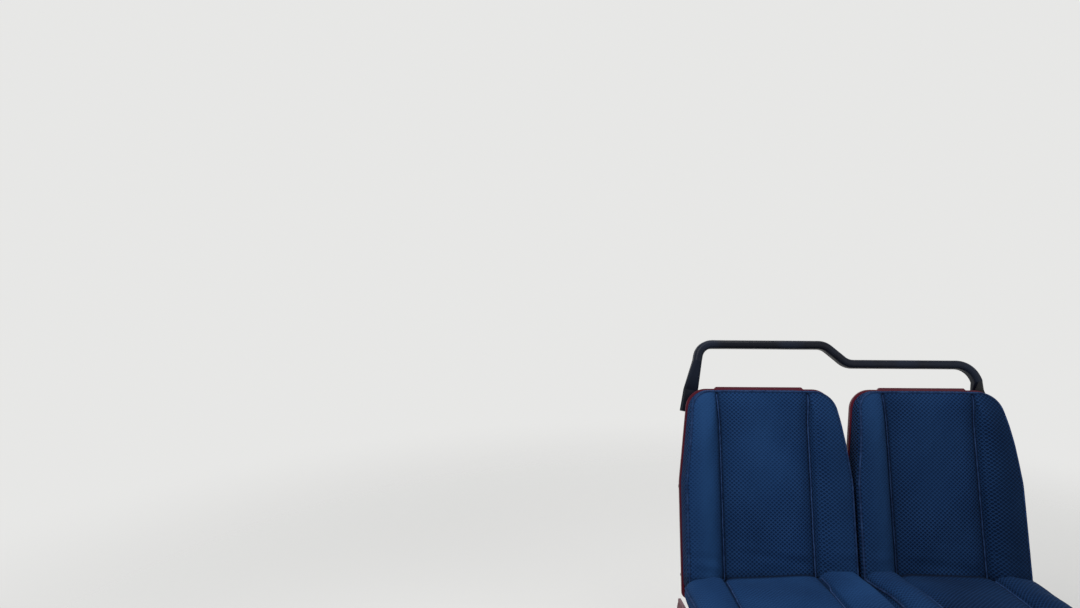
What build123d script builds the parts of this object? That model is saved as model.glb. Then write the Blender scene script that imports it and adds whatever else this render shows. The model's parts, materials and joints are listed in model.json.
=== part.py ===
from build123d import *
from math import cos, radians, sin, tan
import os

# Twin passenger bus seat: two upholstered seats in pressed shells on one steel frame, with a
# stepped grab rail over both backs. Millimetres, +Z up, the sitter faces -Y, the aisle is at -X
# and the vehicle's wall at +X. Pieces are drawn with X = 0 between the seats and Z = 0 on the
# floor, and are moved at the end so that the origin lies on the wall plate's bolt pattern.

# Layout of the pair
SHELL_WIDTH = 423.0       # outside of one shell
SEAT_GAP = 1.0            # between the two shells
WALL_GAP = 34.0           # from the outer shell's side to the vehicle's wall
RECLINE = 15.0            # degrees, back from upright
PAN_TILT = 6.5            # degrees, seat pan rising to the front
BIGHT_Y = -219.0          # where back and seat cushions meet
BIGHT_Z = 443.0
FIT = 0.3                 # running clearance between neighbours
CUSHION_FIT = 1.0         # room between a cushion's sides and its shell

# Back shells and back cushions, measured up the back from the bight
BACK_HEIGHT = 452.0
BACK_DROP = 34.0          # how far the back cushion reaches below the bight
BACK_SHELL_DROP = 58.0
BACK_TAPER_START = 221.0
BACK_TOP_INSET = 28.0     # how much narrower each side is at the top corner
BACK_CORNER_R = 50.0
BACK_FOOT_R = 14.0
BACK_BOXING = 60.0        # cushion thickness in front of the shell's rim
BOXING_FLARE = 4.5        # how far the cushion in front of the rim is wider, each side
BACK_ROLL_START = 290.0   # above this height the cushion's front rolls back towards its top
BACK_ROLL = 34.0          # how far it has rolled back at the top
BACK_EDGE_R = 9.0
DISH_DEPTH = 30.0         # centre panel of the back behind its bolsters
DISH_HALF = 112.0         # half the width of the centre panel
BOLSTER_SLOPE = 50.0      # how far across a bolster's inner side reaches
BOLSTER_ROUND = 65.0      # radius of that side, steep at its foot and level at its crest
TRAY_DEPTH = 24.0
SHELL_WALL = 4.0
RIM_LIP = 2.5             # how far the rolled rim stands out of the shell
RIM_BAND = 7.0
BACK_REAR_R = 9.0
TOP_LIP_WIDTH = 236.0     # raised hand lip on the back shell's top edge
TOP_LIP_HEIGHT = 5.0
TOP_LIP_SLANT = 8.0

# Seat shells and seat cushions, measured along the pan from its rear end
PAN_REAR_Y = -205.0
PAN_REAR_Z = 358.0        # top edge of the pan's side wall at that end
PAN_LENGTH = 304.0        # straight part of the side wall's top edge
PAN_DEPTH = 34.0          # top edge of the side wall to the underside of the pan
PAN_NOSE_RUN = 69.0       # how far the turned-down front reaches on, and down
PAN_NOSE_FALL = 61.0
SKIRT_REAR_RUN = 72.0     # how far the aisle skirt reaches behind the pan
SKIRT_DEPTH = 88.0
SKIRT_CORNER_R = 26.0
SKIRT_BULGE = 5.0         # how far the skirt swells outwards at half its depth
SKIRT_TUCK = 12.0         # how far its lower edge is drawn in
SEAT_OVERHANG = 35.0      # front of the cushion ahead of the pan's tip
SEAT_RISE = 14.0          # front of the cushion's top above the bight
SEAT_NOSE_DROP = 104.0    # top of the cushion to the bottom of its front
WATERFALL_R = 44.0
SEAT_EDGE_R = 30.0
SEAT_DISH = 18.0          # centre panel of the seat below its bolsters
TONGUE_ROOM = 1.0         # beside the tongue that fills the foot of the back's dish

# Grab rail, in a plane parallel to the back
RAIL_SETBACK = 74.0       # from the back cushion's front plane to the rail's centre line
RAIL_THICK = 22.0
RAIL_DEPTH = 32.0
RAIL_SECTION_R = 9.5
RAIL_RISE = 118.0         # high run's centre line above the top of the backs
RAIL_STEP = 49.0          # the low run lies this much lower
RAIL_HIGH_INSET = 66.0    # corner of the high run, in from the aisle shell's outer side
RAIL_LOW_INSET = 71.0     # corner of the low run, in from the window shell's outer side
RAIL_STEP_X = -4.0        # middle of the slanting step
RAIL_STEP_RUN = 58.0      # how far the step reaches across
RAIL_HIGH_CORNER_R = 37.0
RAIL_STEP_R = 44.0
RAIL_LOW_CORNER_R = 56.0
FOOT_INSET = 31.0         # arm's flattened foot at its lower end, in from the shell's side
FOOT_LENGTH = 56.0        # how far the foot laps down over the shell's back
FOOT_WIDTH = 38.0         # the pressed tube grows wider as it grows thinner
FOOT_THICK = 12.0
FOOT_R = 5.5
FOOT_BLEND = 28.0         # length over which the shorter arm is pressed flat
RAIL_BOLT_R = 8.0
RAIL_BOLT_HEAD = 5.0
RAIL_BOLT_SPACING = 26.0

# Steel frame
TUBE = 38.0
TUBE_WALL = 2.5
TUBE_R = 4.0
REAR_TUBE_RUN = 24.0      # rear tube's centre behind the pan's rear end
FRONT_TUBE_SETBACK = 42.0 # front tube's centre behind the pan's bend
TUBE_INSET = 36.5         # aisle end of both cross tubes, in from the shell's side
CAP_THICK = 3.0
WALL_PLATE = (6.0, 400.0, 92.0)
WALL_PLATE_R = 12.0
WALL_BOLTS = (350.0, 56.0)
WALL_BOLT_R = 5.5
WALL_GUSSET = (5.0, 60.0, 30.0)
UPRIGHT = (30.0, 16.0)    # width and thickness of a back upright
UPRIGHT_HEIGHT = 268.0    # its top end, up the back from the bight
UPRIGHT_SPACING = 200.0
UPRIGHT_R = 3.0
UPRIGHT_BOLT_R = 7.0
UPRIGHT_BOLT_HEAD = 5.0
UPRIGHT_BOLTS = (60.0, 230.0)
PAN_BRACKET = (40.0, 26.0, 3.0)
PAN_BRACKET_SPACING = 250.0
LEG_OFFSET = 49.0         # leg's centre from the aisle seat's, towards the aisle
LEG_BEAM = (44.0, 34.0)
LEG_POST = (44.0, 76.0)
LEG_POST_R = 6.0
LEG_POST_AHEAD = 20.0     # leg's centre ahead of its beam's middle
FOOT_PLATE = (96.0, 330.0, 8.0)
FOOT_PLATE_R = 14.0
FOOT_BOLTS = (56.0, 280.0)
FOOT_BOLT_R = 5.5
FOOT_GUSSET = (6.0, 84.0, 92.0)

# Sizes that follow from those above
SEAT_PITCH = SHELL_WIDTH + SEAT_GAP
BACK_UP = Vector(0, sin(radians(RECLINE)), cos(radians(RECLINE)))
BACK_OUT = Vector(0, -cos(radians(RECLINE)), sin(radians(RECLINE)))
PAN_BACK = Vector(0, cos(radians(PAN_TILT)), -sin(radians(PAN_TILT)))
PAN_UP = Vector(0, sin(radians(PAN_TILT)), cos(radians(PAN_TILT)))
SEATS = {"aisle": -SEAT_PITCH / 2, "window": SEAT_PITCH / 2}
SHELL_HALF = SHELL_WIDTH / 2
CUSHION_HALF = SHELL_HALF - RIM_LIP - SHELL_WALL - CUSHION_FIT
OUTER_X = SEAT_PITCH / 2 + SHELL_HALF
WALL_X = OUTER_X + WALL_GAP
FOOT_X = OUTER_X - FOOT_INSET
TUBE_END_X = TUBE_INSET - OUTER_X
LEG_X = -SEAT_PITCH / 2 - LEG_OFFSET
FRONT_TUBE_RUN = PAN_LENGTH - FRONT_TUBE_SETBACK
BACK_THICK = BACK_BOXING + TRAY_DEPTH
RAIL_HIGH = BACK_HEIGHT + RAIL_RISE
RAIL_LOW = RAIL_HIGH - RAIL_STEP
RAIL_HIGH_CORNER_X = RAIL_HIGH_INSET - OUTER_X
RAIL_LOW_CORNER_X = OUTER_X - RAIL_LOW_INSET
RAIL_STEP_TOP_X = RAIL_STEP_X - RAIL_STEP_RUN / 2
RAIL_STEP_FOOT_X = RAIL_STEP_X + RAIL_STEP_RUN / 2
FOOT_END = BACK_HEIGHT - FOOT_LENGTH
TUBE_TOP = -PAN_DEPTH
TUBE_LENGTH = WALL_X - WALL_PLATE[0] - TUBE_END_X
WALL_PLATE_RUN = -(FRONT_TUBE_RUN - REAR_TUBE_RUN) / 2
WALL_PLATE_DROP = TUBE_TOP - TUBE / 2
BEAM_DROP = TUBE_TOP - TUBE - LEG_BEAM[1]
HALF_SPACE = 2 * (WALL_X + OUTER_X)   # larger than the whole pair, for trimming
SEAT_DISH_LENGTH = 2 * BACK_THICK + PAN_LENGTH + PAN_NOSE_RUN + SEAT_OVERHANG   # past both ends


def back_plane(x, setback=0.0):
    """Plane of the back: X across, Y up the back, Z towards the sitter."""
    origin = Vector(x, BIGHT_Y, BIGHT_Z) - BACK_OUT * setback
    return Plane(origin=origin, x_dir=(1, 0, 0), z_dir=BACK_OUT)


def pan_point(run, height):
    """World (Y, Z) of a point on the pan's side view: run towards the rear, height square to it."""
    start = Vector(0, PAN_REAR_Y, PAN_REAR_Z)
    point = start + PAN_BACK * run + PAN_UP * height
    return (point.Y, point.Z)


def pan_plane(x, run, height):
    """Plane of the pan: X across, Y to the rear, Z square to the pan."""
    y, z = pan_point(run, height)
    return Plane(origin=(x, y, z), x_dir=(1, 0, 0), z_dir=PAN_UP)


def side_profile(points, x, width):
    """Solid whose side view is the (Y, Z) outline, width wide and centred on x."""
    plane = Plane(origin=(x, 0, 0), x_dir=(0, 1, 0), z_dir=(1, 0, 0))
    return extrude(plane * make_face(Polyline(points, close=True)), amount=width / 2, both=True)


def back_outline(half, low, high, grow=0.0):
    """Outline of a back: straight sides that lean in towards rounded top corners."""
    wide = half + grow
    narrow = wide - BACK_TOP_INSET
    top = high + grow
    face = make_face(Polyline([(-wide, low), (-wide, BACK_TAPER_START), (-narrow, top), (narrow, top),
                               (wide, BACK_TAPER_START), (wide, low)], close=True))
    face = fillet(face.vertices().group_by(Axis.Y)[1], half)
    face = fillet(face.vertices().group_by(Axis.Y)[-1], BACK_CORNER_R + grow)
    return fillet(face.vertices().group_by(Axis.Y)[0], BACK_FOOT_R)


def back_shell(x):
    """Pressed tray behind a back cushion, with a rolled rim and a raised hand lip on top."""
    rim_plane = back_plane(x, BACK_BOXING)
    low, high = -BACK_SHELL_DROP, BACK_HEIGHT
    outer = extrude(rim_plane * back_outline(SHELL_HALF - RIM_LIP, low, high), amount=-TRAY_DEPTH)
    rear = outer.faces().sort_by(Axis((0, 0, 0), tuple(-BACK_OUT)))[-1]
    outer = fillet(rear.edges(), BACK_REAR_R)
    inner = rim_plane * back_outline(SHELL_HALF - RIM_LIP, low, high, -SHELL_WALL)
    cavity = extrude(inner, amount=-(TRAY_DEPTH - SHELL_WALL))
    rim = extrude(rim_plane * back_outline(SHELL_HALF - RIM_LIP, low, high, RIM_LIP), amount=-RIM_BAND)
    lip_half = TOP_LIP_WIDTH / 2
    lip_top = high + RIM_LIP + TOP_LIP_HEIGHT
    lip = make_face(Polyline([(-lip_half, high), (-lip_half + TOP_LIP_SLANT, lip_top),
                              (lip_half - TOP_LIP_SLANT, lip_top), (lip_half, high)], close=True))
    tongue = extrude(rim_plane * lip, amount=-RIM_BAND)
    return outer + rim + tongue - cavity


def dish(start, way, depth, length, room=0.0):
    """Long trough between two bolsters: flat floor and rounded flanks, drawn out along way."""
    half = DISH_HALF - room
    crest = half + BOLSTER_SLOPE
    floor = Line((-half, -depth), (half, -depth))
    flanks = [RadiusArc((side * half, -depth), (side * crest, 0), side * BOLSTER_ROUND)
              for side in (-1, 1)]
    mouth = Polyline((-crest, 0), (-crest, depth), (crest, depth), (crest, 0))
    plane = Plane(origin=start, x_dir=(1, 0, 0), z_dir=way)
    return extrude(plane * make_face([floor, mouth] + flanks), amount=length)


def back_cushion(x):
    """Closed solid of a back cushion: dished between two bolsters, and rolled back at the top."""
    low, room = -BACK_DROP, SHELL_WALL + CUSHION_FIT
    plug = back_outline(CUSHION_HALF, low, BACK_HEIGHT - room)
    top = BACK_HEIGHT - room + BOXING_FLARE
    front = back_outline(CUSHION_HALF, low, BACK_HEIGHT - room, BOXING_FLARE)
    body = extrude(back_plane(x) * front, amount=FIT - BACK_BOXING)
    body += extrude(back_plane(x) * plug, amount=-(BACK_THICK - SHELL_WALL - FIT))
    # Side view of what is cut away above the roll: X up the back, Y towards the sitter.
    side_view = Plane(origin=back_plane(x).origin, x_dir=BACK_UP, z_dir=(1, 0, 0))
    roll = TangentArc((BACK_ROLL_START, 0), (top, -BACK_ROLL), tangent=(1, 0))
    above = Polyline((top, -BACK_ROLL), (top, BACK_ROLL), (BACK_ROLL_START, BACK_ROLL), (BACK_ROLL_START, 0))
    body -= extrude(side_view * make_face([roll, above]), amount=SHELL_WIDTH, both=True)
    end = back_plane(x).from_local_coords(Vector(0, top, 0))
    hollow = dish(end, -BACK_UP, DISH_DEPTH, top + BACK_DROP)
    fronts = [face for face in body.faces() if face.normal_at().dot(BACK_OUT) > cos(radians(2 * RECLINE))]
    rims = [edge for face in fronts for edge in face.edges()
            if abs(back_plane(x).to_local_coords(edge.center()).Y - BACK_ROLL_START) > FIT]
    return fillet(rims, BACK_EDGE_R) - hollow


def pan_nose():
    """World (Y, Z) of the tip of the pan's turned-down front."""
    y, z = pan_point(-PAN_LENGTH, 0)
    return (y - PAN_NOSE_RUN, z - PAN_NOSE_FALL)


def skirt(x):
    """Deep side panel of the aisle seat: swelling outwards, drawn in at its lower edge."""
    nose = pan_nose()
    start = pan_point(SKIRT_REAR_RUN, 0)
    outline = [start, pan_point(-PAN_LENGTH, 0), nose, pan_point(-PAN_LENGTH, -SKIRT_DEPTH),
               pan_point(SKIRT_REAR_RUN, -SKIRT_DEPTH)]
    plane = Plane(origin=(x, 0, 0), x_dir=(0, 1, 0), z_dir=(1, 0, 0))
    face = make_face(Polyline(outline, close=True))
    face = fillet(face.vertices().group_by(Axis.Y)[0], SKIRT_CORNER_R)
    side_view = extrude(plane * face, amount=SKIRT_DEPTH, both=True)
    section_plane = Plane(origin=(x, start[0], start[1]), x_dir=(1, 0, 0), z_dir=-PAN_BACK)
    ends = [(0, 0), (-SKIRT_BULGE, -SKIRT_DEPTH / 2), (SKIRT_TUCK, -SKIRT_DEPTH)]
    outer = ThreePointArc(*ends)
    inner = ThreePointArc(*[(across + SHELL_WALL, up) for across, up in ends])
    sheet = make_face([outer, inner, Line(outer @ 0, inner @ 0), Line(outer @ 1, inner @ 1)])
    return side_view & extrude(section_plane * sheet, amount=SKIRT_REAR_RUN + PAN_LENGTH + PAN_NOSE_RUN)


def seat_shell(x, skirted):
    """Pressed pan with side walls and a turned-down front; the aisle seat has a deep skirt."""
    nose = pan_nose()
    rear_run = SKIRT_REAR_RUN if skirted else 0
    knee = pan_point(-PAN_LENGTH, -PAN_DEPTH + SHELL_WALL)
    under_knee = pan_point(-PAN_LENGTH + SHELL_WALL / 2, -PAN_DEPTH)
    under_nose = (nose[0] + SHELL_WALL, nose[1] - SHELL_WALL)
    under = [nose, under_nose, under_knee, pan_point(0, -PAN_DEPTH)]
    floor = [pan_point(0, -PAN_DEPTH + SHELL_WALL), knee] + under
    wall = [pan_point(0, 0), pan_point(-PAN_LENGTH, 0)] + under
    band = [(0, 0), (-PAN_LENGTH, 0), (-PAN_LENGTH, -RIM_BAND), (0, -RIM_BAND)]
    side = SHELL_HALF - RIM_LIP - SHELL_WALL / 2
    shell = side_profile(floor, x, SHELL_WIDTH - 2 * RIM_LIP)
    for way in (-1, 1):
        shell += side_profile(wall, x + way * side, SHELL_WALL)
        reach = rear_run if way < 0 else 0
        rim = [pan_point(reach if run == 0 else run, height) for run, height in band]
        shell += side_profile(rim, x + way * (side + SHELL_WALL / 2), 2 * RIM_LIP)
    if skirted:
        shell += skirt(x - SHELL_HALF + RIM_LIP)
    return shell


def seat_cushion(x):
    """Closed solid of a seat cushion: dished, it lies on the pan and falls over its front edge."""
    nose_y, nose_low = pan_nose()
    top_front_z = BIGHT_Z + SEAT_RISE
    front_y = nose_y - SEAT_OVERHANG
    floor = -PAN_DEPTH + SHELL_WALL + FIT
    back_gap = FIT / cos(radians(RECLINE))
    nose_z = top_front_z - SEAT_NOSE_DROP
    # The rear face follows the back cushion's front plane down to the pan.
    rear_top = (BIGHT_Y - back_gap, BIGHT_Z)
    rear_z = pan_point(-BACK_THICK, floor)[1]
    rear_low = (BIGHT_Y - back_gap - (BIGHT_Z - rear_z) * tan(radians(RECLINE)), rear_z)
    knee = pan_point(-PAN_LENGTH, floor)
    points = [rear_top, rear_low, knee, (nose_y, nose_low + SHELL_WALL), (front_y + SHELL_WALL, nose_z),
              (front_y, top_front_z)]
    plane = Plane(origin=(x, 0, 0), x_dir=(0, 1, 0), z_dir=(1, 0, 0))
    face = make_face(Polyline(points, close=True))
    waterfall = face.vertices().sort_by(Axis.X)[0]
    face = fillet(waterfall, WATERFALL_R)
    body = extrude(plane * face, amount=CUSHION_HALF + BOXING_FLARE, both=True)
    sides = body.edges().group_by(Axis.X)
    crown = [edge for edge in sides[0] + sides[-1] if edge.center().Z > (BIGHT_Z + PAN_REAR_Z) / 2]
    body = fillet(crown, SEAT_EDGE_R)
    # Below the rim of the pan's side walls the cushion is narrower and fits between them.
    under_rim = [pan_point(SKIRT_REAR_RUN, FIT), pan_point(-PAN_LENGTH, FIT), (nose_y - 2 * FIT, nose_low),
                 (nose_y - 2 * FIT, rear_z - PAN_DEPTH), pan_point(SKIRT_REAR_RUN, -SKIRT_DEPTH)]
    beside = side_profile(under_rim, x, 2 * SHELL_WIDTH) - side_profile(under_rim, x, 2 * CUSHION_HALF)
    body -= beside
    # A tongue fills the foot of the back's dish; the seat's own dish then runs over it to the front.
    forward = Vector(0, front_y - rear_top[0], top_front_z - BIGHT_Z).normalized()
    bight = Vector(x, *rear_top)
    tongue = dish(bight, -BACK_UP, DISH_DEPTH - FIT, BACK_DROP, TONGUE_ROOM)
    return body + tongue - dish(bight - forward * BACK_THICK, forward, SEAT_DISH, SEAT_DISH_LENGTH)


def rail_arm(side, top_x, top):
    """Foot of one arm: from below its corner the tube is pressed flat against the shell's back."""
    foot_end = Vector(side * FOOT_X, FOOT_END, 0)
    way = (foot_end - Vector(top_x, top, 0)).normalized()
    lap = FOOT_LENGTH / abs(way.Y)
    press = FOOT_BLEND + top - RAIL_LOW
    blend_start = foot_end - way * (lap + press)
    tube_at = Plane(origin=blend_start, x_dir=(-way.Y, way.X, 0), z_dir=way)
    flat_shift = RAIL_SETBACK - BACK_THICK - FIT - FOOT_THICK / 2
    flat_start = blend_start + way * press + Vector(0, 0, flat_shift)
    flat_at = Plane(origin=flat_start, x_dir=(-way.Y, way.X, 0), z_dir=way)
    blend = loft([tube_at * RectangleRounded(RAIL_THICK, RAIL_DEPTH, RAIL_SECTION_R),
                  flat_at * RectangleRounded(FOOT_WIDTH, FOOT_THICK, FOOT_R)])
    foot = extrude(flat_at * RectangleRounded(FOOT_WIDTH, FOOT_THICK, FOOT_R), amount=lap)
    return blend_start, blend + foot


def grab_rail():
    """Stepped rail: a bent oval tube with both ends pressed flat."""
    place = back_plane(0, RAIL_SETBACK)
    aisle_start, aisle_foot = rail_arm(-1, RAIL_HIGH_CORNER_X, RAIL_HIGH)
    window_start, window_foot = rail_arm(1, RAIL_LOW_CORNER_X, RAIL_LOW)
    path = FilletPolyline(
        [aisle_start, Vector(RAIL_HIGH_CORNER_X, RAIL_HIGH, 0), Vector(RAIL_STEP_TOP_X, RAIL_HIGH, 0),
         Vector(RAIL_STEP_FOOT_X, RAIL_LOW, 0), Vector(RAIL_LOW_CORNER_X, RAIL_LOW, 0), window_start],
        radius=[RAIL_HIGH_CORNER_R, RAIL_STEP_R, RAIL_STEP_R, RAIL_LOW_CORNER_R])
    way = path % 0
    start = Plane(origin=path @ 0, x_dir=(-way.Y, way.X, 0), z_dir=way)
    tube = sweep(start * RectangleRounded(RAIL_THICK, RAIL_DEPTH, RAIL_SECTION_R), path=path)
    return place * (tube + aisle_foot + window_foot)


def bolt_head(radius, height):
    """Low domed bolt head, standing up from the plane it is placed on."""
    head = Cylinder(radius, height, align=(Align.CENTER, Align.CENTER, Align.MIN))
    return fillet(head.edges().sort_by(Axis.Z)[-1], height / 2)


def rail_bolts():
    """Heads of the bolts that hold the rail's feet to the shells."""
    heads = []
    setback = BACK_THICK + FIT + FOOT_THICK
    for side, top_x, top in ((-1, RAIL_HIGH_CORNER_X, RAIL_HIGH), (1, RAIL_LOW_CORNER_X, RAIL_LOW)):
        lean = (side * FOOT_X - top_x) / (top - FOOT_END)
        for step in (-0.5, 0.5):
            up = FOOT_END + FOOT_LENGTH / 2 + step * RAIL_BOLT_SPACING
            x = side * FOOT_X - (up - FOOT_END) * lean
            at = Plane(origin=back_plane(x, setback).from_local_coords(Vector(0, up, 0)),
                       x_dir=(1, 0, 0), z_dir=-BACK_OUT)
            heads.append(at * bolt_head(RAIL_BOLT_R, RAIL_BOLT_HEAD))
    return heads


def cross_tube(run):
    """Square tube across both seats, its top face against the pans."""
    middle = pan_plane(TUBE_END_X, run, TUBE_TOP - TUBE / 2)
    section = Plane(origin=middle.origin, x_dir=PAN_BACK, z_dir=(1, 0, 0))
    outer = RectangleRounded(TUBE, TUBE, TUBE_R)
    inner = RectangleRounded(TUBE - 2 * TUBE_WALL, TUBE - 2 * TUBE_WALL, TUBE_R - TUBE_WALL)
    return extrude(section * (outer - inner), amount=TUBE_LENGTH)


def end_cap(run):
    """Flat cap on the aisle end of a cross tube."""
    middle = pan_plane(TUBE_END_X, run, TUBE_TOP - TUBE / 2)
    section = Plane(origin=middle.origin, x_dir=PAN_BACK, z_dir=(-1, 0, 0))
    return extrude(section * RectangleRounded(TUBE, TUBE, TUBE_R), amount=CAP_THICK)


def wall_plate():
    """Plate that bolts to the vehicle's wall and carries the cross tubes' ends."""
    thick, long, tall = WALL_PLATE
    y, z = wall_centre()
    face = Plane(origin=(WALL_X, y, z), x_dir=(0, 1, 0), z_dir=(1, 0, 0))
    blank = RectangleRounded(long, tall, WALL_PLATE_R)
    holes = GridLocations(WALL_BOLTS[0], WALL_BOLTS[1], 2, 2) * Circle(WALL_BOLT_R)
    return extrude(face * (blank - holes), amount=-thick)


def wall_centre():
    """World (Y, Z) of the middle between the cross tubes' ends."""
    return pan_point(WALL_PLATE_RUN, WALL_PLATE_DROP)


def wall_gusset(run):
    """Web under a cross tube's wall end."""
    thick, reach, drop = WALL_GUSSET
    middle = pan_plane(0, run, TUBE_TOP - TUBE).origin
    plate_face = WALL_X - WALL_PLATE[0]
    low = wall_centre()[1] - WALL_PLATE[2] / 2
    drop = min(drop, middle.Z - low)
    plane = Plane(origin=(plate_face, middle.Y, middle.Z), x_dir=(1, 0, 0), z_dir=PAN_BACK)
    up = plane.to_local_coords(Vector(plate_face, middle.Y, middle.Z) + PAN_UP).Y
    web = make_face(Polyline([(0, 0), (-reach, 0), (0, -up * drop)], close=True))
    return extrude(plane * web, amount=thick / 2, both=True)


def uprights(x):
    """Two straps that stand on the rear cross tube and carry a back shell."""
    width, thick = UPRIGHT
    bars = []
    tube_y, tube_z = pan_point(REAR_TUBE_RUN, TUBE_TOP)
    down = (BIGHT_Z - tube_z) / cos(radians(RECLINE))
    for side in (-0.5, 0.5):
        plane = back_plane(x + side * UPRIGHT_SPACING, BACK_THICK + FIT)
        low, high = -down - TUBE, UPRIGHT_HEIGHT
        bar = Pos(0, (low + high) / 2) * RectangleRounded(width, high - low, UPRIGHT_R)
        strap = extrude(plane * bar, amount=-thick)
        cut = pan_plane(x, REAR_TUBE_RUN, TUBE_TOP)
        below = extrude(cut * Rectangle(HALF_SPACE, HALF_SPACE), amount=-HALF_SPACE)
        bars.append(strap - below)
    return bars


def upright_bolts(x):
    """Bolt heads on the rear of the uprights."""
    heads = []
    for side in (-0.5, 0.5):
        for up in UPRIGHT_BOLTS:
            plane = back_plane(x + side * UPRIGHT_SPACING, BACK_THICK + FIT + UPRIGHT[1])
            at = Plane(origin=plane.from_local_coords(Vector(0, up, 0)), x_dir=(1, 0, 0),
                       z_dir=-BACK_OUT)
            heads.append(at * bolt_head(UPRIGHT_BOLT_R, UPRIGHT_BOLT_HEAD))
    return heads


def pan_brackets(x):
    """Angle brackets that hold a pan down on both cross tubes."""
    long, leg, thick = PAN_BRACKET
    brackets = []
    for run, turn in ((REAR_TUBE_RUN - TUBE / 2, -1), (-FRONT_TUBE_RUN + TUBE / 2, 1)):
        for side in (-0.5, 0.5):
            corner = pan_plane(x + side * PAN_BRACKET_SPACING, run, TUBE_TOP)
            flat = Pos(0, turn * leg / 2, -thick / 2) * Box(long, leg, thick)
            down = Pos(0, turn * thick / 2, -leg / 2) * Box(long, thick, leg)
            brackets.append(corner * (flat + down))
    return brackets


def leg_beam():
    """Fore-and-aft beam under both cross tubes."""
    wide, tall = LEG_BEAM
    rear = REAR_TUBE_RUN + TUBE / 2
    front = -FRONT_TUBE_RUN - TUBE / 2
    middle = pan_plane(LEG_X, (rear + front) / 2, TUBE_TOP - TUBE)
    beam = Pos(0, 0, -tall / 2) * Box(wide, rear - front, tall)
    return middle * fillet(beam.edges().filter_by(Axis.Y), TUBE_R)


def leg_post_y():
    """Y of the leg's centre line."""
    return pan_point((REAR_TUBE_RUN - FRONT_TUBE_RUN) / 2, BEAM_DROP)[0] - LEG_POST_AHEAD


def leg_post():
    """Upright box leg between the foot plate and the beam."""
    wide, deep = LEG_POST
    foot = Plane(origin=(LEG_X, leg_post_y(), FOOT_PLATE[2]))
    post = extrude(foot * RectangleRounded(wide, deep, LEG_POST_R), amount=PAN_REAR_Z)
    cut = pan_plane(LEG_X, 0, BEAM_DROP)
    return post - extrude(cut * Rectangle(HALF_SPACE, HALF_SPACE), amount=HALF_SPACE)


def foot_plate():
    """Floor plate of the leg, with four bolt holes."""
    wide, long, thick = FOOT_PLATE
    plane = Plane(origin=(LEG_X, leg_post_y(), 0))
    holes = GridLocations(FOOT_BOLTS[0], FOOT_BOLTS[1], 2, 2) * Circle(FOOT_BOLT_R)
    return extrude(plane * (RectangleRounded(wide, long, FOOT_PLATE_R) - holes), amount=thick)


def foot_gussets():
    """Webs between the leg and its floor plate, front and rear."""
    thick, reach, tall = FOOT_GUSSET
    webs = []
    for side in (-1, 1):
        y = leg_post_y() + side * LEG_POST[1] / 2
        z = FOOT_PLATE[2]
        points = [(y, z), (y + side * reach, z), (y, z + tall)]
        webs.append(side_profile(points, LEG_X, thick))
    return webs


def build_parts():
    parts = {"grab_rail": grab_rail(), "grab_rail_bolts": rail_bolts()}
    for name, x in SEATS.items():
        parts[name + "_back_shell"] = back_shell(x)
        parts[name + "_back_cushion"] = back_cushion(x)
        parts[name + "_seat_shell"] = seat_shell(x, name == "aisle")
        parts[name + "_seat_cushion"] = seat_cushion(x)
        parts[name + "_uprights"] = uprights(x)
        parts[name + "_upright_bolts"] = upright_bolts(x)
        parts[name + "_pan_brackets"] = pan_brackets(x)
    runs = {"rear": REAR_TUBE_RUN, "front": -FRONT_TUBE_RUN}
    for name, run in runs.items():
        parts[name + "_cross_tube"] = cross_tube(run)
    parts["tube_end_caps"] = [end_cap(run) for run in runs.values()]
    parts["wall_plate"] = wall_plate()
    parts["wall_gussets"] = [wall_gusset(run) for run in runs.values()]
    parts["leg_beam"] = leg_beam()
    parts["leg_post"] = leg_post()
    parts["foot_plate"] = foot_plate()
    parts["foot_gussets"] = foot_gussets()
    return parts


os.makedirs("parts", exist_ok=True)
origin_y, origin_z = wall_centre()
to_origin = Pos(-WALL_X, -origin_y, -origin_z)
for name, shape in build_parts().items():
    solids = shape if isinstance(shape, list) else shape.solids()
    moved = [to_origin * solid for solid in solids]
    export_step(Compound(children=moved) if len(moved) > 1 else moved[0], f"parts/{name}.step")
print("floor height below the origin", round(origin_z, 3))
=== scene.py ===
"""Twin bus seat: upholstery, piping, screws, finishes, floor, lights and camera."""
import json
from math import cos, pi, radians, sin

import bmesh
import bpy
import numpy as np
from mathutils import Matrix, Vector
from mathutils.bvhtree import BVHTree


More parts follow.
